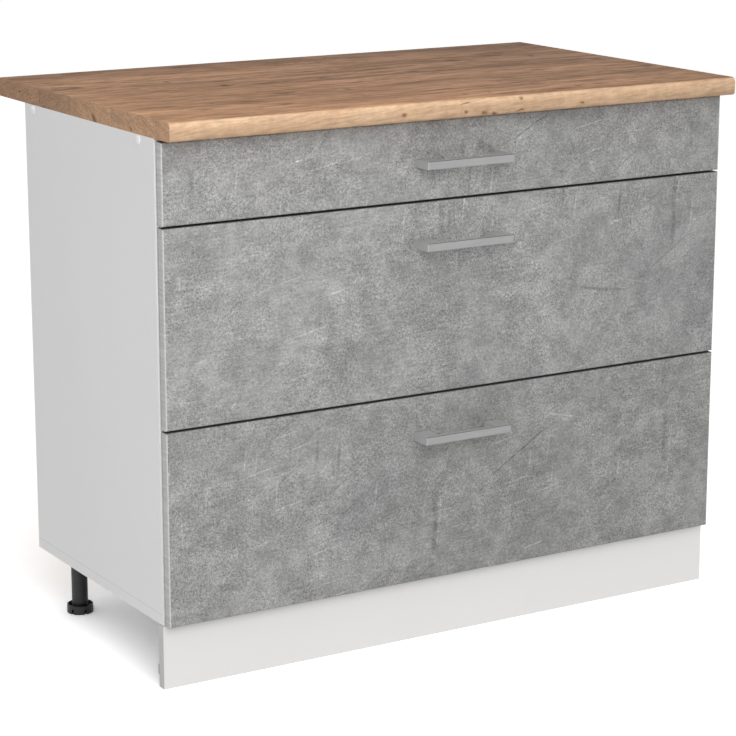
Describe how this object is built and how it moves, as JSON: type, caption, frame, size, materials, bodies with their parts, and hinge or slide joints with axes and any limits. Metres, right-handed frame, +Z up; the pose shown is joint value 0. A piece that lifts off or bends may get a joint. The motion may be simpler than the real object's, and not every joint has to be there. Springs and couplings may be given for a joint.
{
  "type": "kitchen base cabinet with drawers",
  "caption": "Kitchen base cabinet: worktop, board carcass on levelling legs, plinth, and drawers on roller runners.",
  "frame": {"origin": "on the floor, below the middle of the overall box", "axes": "+X to the right along the worktop, +Y towards the wall, +Z up; the drawers open towards -Y"},
  "size_m": [1.004, 0.604, 0.848],
  "materials": {
    "oak_laminate": "matt printed oak laminate with a fine pore texture",
    "chipboard": "raw pressed chipboard",
    "white_board": "white melamine-faced chipboard, satin",
    "white_edging": "white edging strip, satin",
    "hardboard": "hardboard, white on the inner face",
    "concrete_front": "matt cast-concrete decor, clouded grey with fine pores",
    "handle_metal": "brushed, satin anodised",
    "coated_steel": "light grey powder coat",
    "zinc_steel": "zinc plated",
    "roller_plastic": "white nylon",
    "black_plastic": "moulded black plastic",
    "cap_plastic": "white moulded plastic"
  },
  "bodies": {
    "carcass": {"back_panel": "hardboard", "bottom_panel": "white_board", "cabinet_rail_bottom_left": "coated_steel", "cabinet_rail_bottom_right": "coated_steel", "cabinet_rail_middle_left": "coated_steel", "cabinet_rail_middle_right": "coated_steel", "cabinet_rail_top_left": "coated_steel", "cabinet_rail_top_right": "coated_steel", "cross_edge_bands": "white_edging", "front_top_rail": "white_board", "leg_bodies": "black_plastic", "plinth_board": "white_board", "plinth_clips": "black_plastic", "rear_top_rail": "white_board", "screw_caps": "cap_plastic", "side_edge_bands": "white_edging", "side_panel_left": "white_board", "side_panel_right": "white_board", "worktop_core": "chipboard", "worktop_edge_strips": "oak_laminate", "worktop_laminate": "oak_laminate"},
    "drawer_top": {"drawer_front_top": "concrete_front", "handle_top": "handle_metal", "drawer_base_top": "white_board", "drawer_back_top": "white_board", "front_brackets_top": "zinc_steel", "drawer_side_top_left": "coated_steel", "drawer_side_top_right": "coated_steel"},
    "front_rollers_top": {"front_rollers_top": "roller_plastic"},
    "rear_rollers_top": {"rear_rollers_top": "roller_plastic"},
    "drawer_middle": {"drawer_front_middle": "concrete_front", "handle_middle": "handle_metal", "drawer_base_middle": "white_board", "drawer_back_middle": "white_board", "front_brackets_middle": "zinc_steel", "drawer_side_middle_left": "coated_steel", "drawer_side_middle_right": "coated_steel", "gallery_rails_middle": "coated_steel"},
    "front_rollers_middle": {"front_rollers_middle": "roller_plastic"},
    "rear_rollers_middle": {"rear_rollers_middle": "roller_plastic"},
    "drawer_bottom": {"drawer_front_bottom": "concrete_front", "handle_bottom": "handle_metal", "drawer_base_bottom": "white_board", "drawer_back_bottom": "white_board", "front_brackets_bottom": "zinc_steel", "drawer_side_bottom_left": "coated_steel", "drawer_side_bottom_right": "coated_steel", "gallery_rails_bottom": "coated_steel"},
    "front_rollers_bottom": {"front_rollers_bottom": "roller_plastic"},
    "rear_rollers_bottom": {"rear_rollers_bottom": "roller_plastic"},
    "foot_front_left": {"leg_foot_front_left": "black_plastic"},
    "foot_front_right": {"leg_foot_front_right": "black_plastic"},
    "foot_rear_left": {"leg_foot_rear_left": "black_plastic"},
    "foot_rear_right": {"leg_foot_rear_right": "black_plastic"}
  },
  "joints": [
    {"name": "drawer_top_slide", "type": "slide", "parent": "carcass", "child": "drawer_top", "axis": [0, -1, 0], "range_m": [0, 0.31]},
    {"name": "front_rollers_top_spin", "type": "hinge", "parent": "carcass", "child": "front_rollers_top", "pos_m": [0, -0.234, 0.72], "axis": [1, 0, 0], "continuous": true},
    {"name": "rear_rollers_top_spin", "type": "hinge", "parent": "drawer_top", "child": "rear_rollers_top", "pos_m": [0, 0.135, 0.72], "axis": [1, 0, 0], "continuous": true},
    {"name": "drawer_middle_slide", "type": "slide", "parent": "carcass", "child": "drawer_middle", "axis": [0, -1, 0], "range_m": [0, 0.31]},
    {"name": "front_rollers_middle_spin", "type": "hinge", "parent": "carcass", "child": "front_rollers_middle", "pos_m": [0, -0.234, 0.422], "axis": [1, 0, 0], "continuous": true},
    {"name": "rear_rollers_middle_spin", "type": "hinge", "parent": "drawer_middle", "child": "rear_rollers_middle", "pos_m": [0, 0.135, 0.422], "axis": [1, 0, 0], "continuous": true},
    {"name": "drawer_bottom_slide", "type": "slide", "parent": "carcass", "child": "drawer_bottom", "axis": [0, -1, 0], "range_m": [0, 0.31]},
    {"name": "front_rollers_bottom_spin", "type": "hinge", "parent": "carcass", "child": "front_rollers_bottom", "pos_m": [0, -0.234, 0.14], "axis": [1, 0, 0], "continuous": true},
    {"name": "rear_rollers_bottom_spin", "type": "hinge", "parent": "drawer_bottom", "child": "rear_rollers_bottom", "pos_m": [0, 0.135, 0.14], "axis": [1, 0, 0], "continuous": true},
    {"name": "foot_front_left_screw", "type": "hinge", "parent": "carcass", "child": "foot_front_left", "pos_m": [-0.457, -0.19, 0], "axis": [0, 0, -1], "range_deg": [0, 1800]},
    {"name": "foot_front_right_screw", "type": "hinge", "parent": "carcass", "child": "foot_front_right", "pos_m": [0.457, -0.19, 0], "axis": [0, 0, -1], "range_deg": [0, 1800]},
    {"name": "foot_rear_left_screw", "type": "hinge", "parent": "carcass", "child": "foot_rear_left", "pos_m": [-0.457, 0.14, 0], "axis": [0, 0, -1], "range_deg": [0, 1800]},
    {"name": "foot_rear_right_screw", "type": "hinge", "parent": "carcass", "child": "foot_rear_right", "pos_m": [0.457, 0.14, 0], "axis": [0, 0, -1], "range_deg": [0, 1800]}
  ],
  "couplings": [
    {"joint": "front_rollers_top_spin", "follows": "drawer_top_slide", "rad_per_m": 95.238},
    {"joint": "rear_rollers_top_spin", "follows": "drawer_top_slide", "rad_per_m": 95.238},
    {"joint": "front_rollers_middle_spin", "follows": "drawer_middle_slide", "rad_per_m": 95.238},
    {"joint": "rear_rollers_middle_spin", "follows": "drawer_middle_slide", "rad_per_m": 95.238},
    {"joint": "front_rollers_bottom_spin", "follows": "drawer_bottom_slide", "rad_per_m": 95.238},
    {"joint": "rear_rollers_bottom_spin", "follows": "drawer_bottom_slide", "rad_per_m": 95.238}
  ]
}
